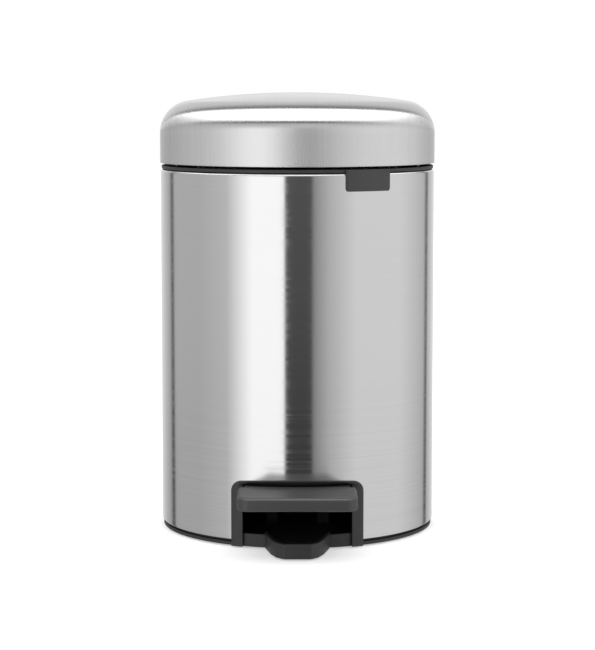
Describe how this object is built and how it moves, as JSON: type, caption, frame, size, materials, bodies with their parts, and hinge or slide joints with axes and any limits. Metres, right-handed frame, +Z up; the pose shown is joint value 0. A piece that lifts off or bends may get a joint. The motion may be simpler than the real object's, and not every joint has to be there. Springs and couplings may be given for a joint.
{
  "type": "pedal trash can",
  "caption": "Round steel pedal bin with a domed hinged lid, plastic rim, base and pedal, lift-out bucket with a wire handle, and a lever and push rod that open the lid.",
  "frame": {"origin": "on the body's axis at floor level, in the plane of the non-slip ring's underside", "axes": "+Z up along the body's axis, -Y towards the pedal, +Y towards the lid hinge, +X to the right seen from the front"},
  "size_m": [0.17, 0.217, 0.2699],
  "materials": {
    "body_steel": "brushed round the body",
    "lid_steel": "satin, spun",
    "rim_plastic": "fine matt grain",
    "tag_plastic": "fine matt grain, blank",
    "base_plastic": "fine matt grain",
    "frame_plastic": "fine matt grain",
    "pedal_plastic": "fine matt grain",
    "liner_plastic": "matt",
    "hinge_plastic": "matt",
    "bucket_plastic": "smooth, slightly glossy",
    "bush_plastic": "natural nylon",
    "soft_rubber": "matt",
    "zinc_steel": "zinc plated",
    "bright_wire": "bright drawn wire"
  },
  "bodies": {
    "can": {"body_shell": "body_steel", "top_rim": "rim_plastic", "lid_buffers": "soft_rubber", "name_tag": "tag_plastic", "base": "base_plastic", "floor_ring": "soft_rubber", "pedal_frame": "frame_plastic", "axle_bushes": "bush_plastic", "rod_guides": "hinge_plastic", "guide_rivets": "zinc_steel", "hinge_bracket": "hinge_plastic", "bracket_screws": "zinc_steel", "bracket_nuts": "zinc_steel", "hinge_pin": "zinc_steel", "pin_cap": "hinge_plastic"},
    "lid": {"lid_shell": "lid_steel", "lid_liner": "liner_plastic", "lid_arm": "hinge_plastic", "lid_screws": "zinc_steel", "crank_pin": "zinc_steel"},
    "pedal": {"pedal_pad": "pedal_plastic", "pedal_lever": "zinc_steel", "pedal_screws": "zinc_steel", "lever_axle": "zinc_steel", "axle_clips": "zinc_steel"},
    "rod": {"push_rod": "bright_wire", "rod_foot": "hinge_plastic", "rod_yoke": "hinge_plastic"},
    "bucket": {"bucket": "bucket_plastic"},
    "handle": {"bucket_handle": "bright_wire"}
  },
  "joints": [
    {"name": "lid_hinge", "type": "hinge", "parent": "can", "child": "lid", "pos_m": [0, 0.089, 0.224], "axis": [-1, 0, 0], "range_deg": [0, 80]},
    {"name": "pedal_pivot", "type": "hinge", "parent": "can", "child": "pedal", "pos_m": [0, -0.012, 0.02], "axis": [1, 0, 0], "range_deg": [0, 9.83]},
    {"name": "rod_slide", "type": "slide", "parent": "can", "child": "rod", "axis": [0, 0, 1], "range_m": [0, 0.01544]},
    {"name": "bucket_lift", "type": "slide", "parent": "can", "child": "bucket", "axis": [0, 0, 1], "range_m": [0, 0.015]},
    {"name": "handle_swing", "type": "hinge", "parent": "bucket", "child": "handle", "pos_m": [0, 0, 0.2242], "axis": [-1, 0, 0], "range_deg": [0, 15]}
  ],
  "couplings": [
    {"joint": "pedal_pivot", "follows": "lid_hinge", "ratio": 0.12278},
    {"joint": "rod_slide", "follows": "lid_hinge", "m_per_rad": 0.011049}
  ]
}
